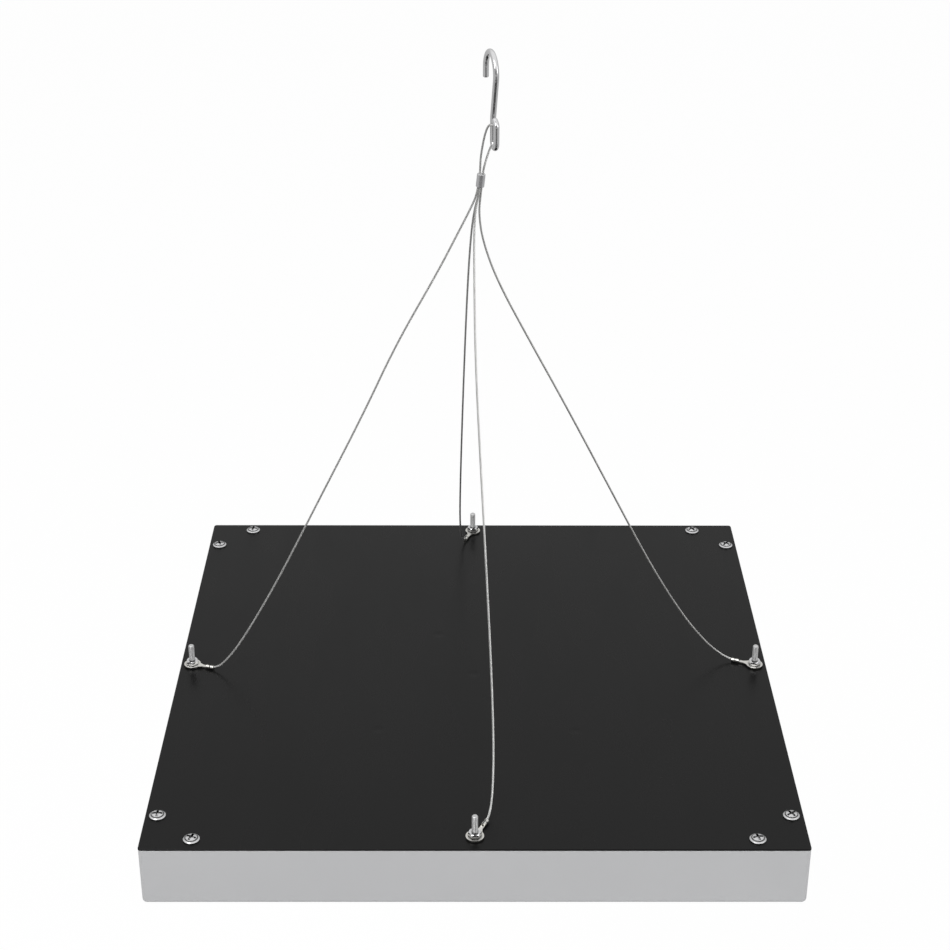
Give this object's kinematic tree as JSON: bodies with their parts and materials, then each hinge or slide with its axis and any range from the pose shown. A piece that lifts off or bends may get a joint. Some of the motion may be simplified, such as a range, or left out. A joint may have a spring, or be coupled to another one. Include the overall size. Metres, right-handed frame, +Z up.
{
  "type": "led grow light",
  "caption": "Square hanging LED grow light panel with a black back plate, silver case, reflector grid and wire-rope hanger with an S-hook.",
  "frame": {"origin": "inside top of the hanging hook's upper bend, where the light hangs", "axes": "+Z up, +X to the right of the panel, +Y away, towards the wall with the power inlet; the LEDs face -Z"},
  "size_m": [0.31, 0.3116, 0.3614],
  "materials": {
    "hook_steel": "bright zinc plate",
    "zinc_steel": "bright zinc plate",
    "wire_rope": "stranded",
    "ferrule_alloy": "crimped",
    "tinned_lug": "tin plate",
    "plate_paint": "semi-gloss black",
    "case_plastic": "fine satin",
    "reflector_silver": "metallised",
    "board_white": "white solder mask",
    "led_red": "moulded lens, red die",
    "led_blue": "moulded lens, blue die",
    "led_white": "phosphor",
    "led_orange": "moulded lens, orange die",
    "film": "clear amber film",
    "brass_spacer": "turned",
    "circuit_board": "green solder mask",
    "ferrite": "sintered",
    "winding_tape": "yellow tape",
    "capacitor_sleeve": "shrink sleeve",
    "film_capacitor_case": "moulded",
    "copper_wire": "enamelled copper",
    "black_epoxy": "moulded",
    "fuse_glass": "clear",
    "nickel_cap": "nickel plate",
    "bare_aluminium": "satin",
    "terminal_plastic": "moulded",
    "inlet_plastic": "moulded",
    "mains_insulation": "insulation",
    "lamp_insulation": "insulation"
  },
  "bodies": {
    "hook": {"hanging_hook": "hook_steel"},
    "hanger_loop": {"wire_loop": "wire_rope"},
    "harness": {"crimp_ferrule": "ferrule_alloy"},
    "panel": {"hanger_wire_left": "wire_rope", "hanger_wire_right": "wire_rope", "hanger_wire_near": "wire_rope", "hanger_wire_far": "wire_rope", "cable_lugs": "tinned_lug", "hanging_studs": "zinc_steel", "stud_washers": "zinc_steel", "stud_nuts": "zinc_steel", "back_plate": "plate_paint", "front_housing": "case_plastic", "case_screws": "zinc_steel", "reflector_plate": "reflector_silver", "led_board": "board_white", "board_screws": "zinc_steel", "leds_red": "led_red", "leds_blue": "led_blue", "leds_white": "led_white", "leds_orange": "led_orange", "insulating_film": "film", "driver_spacers": "brass_spacer", "driver_board": "circuit_board", "driver_screws": "zinc_steel", "driver_nuts": "zinc_steel", "transformer_core": "ferrite", "transformer_winding": "winding_tape", "electrolytic_capacitors": "capacitor_sleeve", "film_capacitor": "film_capacitor_case", "line_choke": "copper_wire", "bridge_rectifier": "black_epoxy", "fuse_tube": "fuse_glass", "fuse_caps": "nickel_cap", "fuse_clips": "nickel_cap", "heat_sink": "bare_aluminium", "power_transistor": "black_epoxy", "mains_terminal": "terminal_plastic", "output_terminal": "terminal_plastic", "lamp_terminal": "terminal_plastic", "power_inlet": "inlet_plastic", "inlet_pins": "nickel_cap", "mains_wires": "mains_insulation", "lamp_wires": "lamp_insulation"}
  },
  "joints": [
    {"name": "hook_swivel", "type": "hinge", "parent": "hook", "child": "hanger_loop", "pos_m": [0.00108, -0.00415, -0.0338], "axis": [0, 0, 1], "range_deg": [-60, 60]},
    {"name": "light_swing", "type": "hinge", "parent": "hanger_loop", "child": "harness", "pos_m": [-0.00411, -0.0025, -0.05474], "axis": [1, 0, 0], "range_deg": [-30, 30]},
    {"name": "hanger_fold", "type": "slide", "parent": "harness", "child": "panel", "axis": [0, 0, 1], "range_m": [0, 0.22], "deforming": ["hanger_wire_left", "hanger_wire_right", "hanger_wire_near", "hanger_wire_far"]}
  ]
}
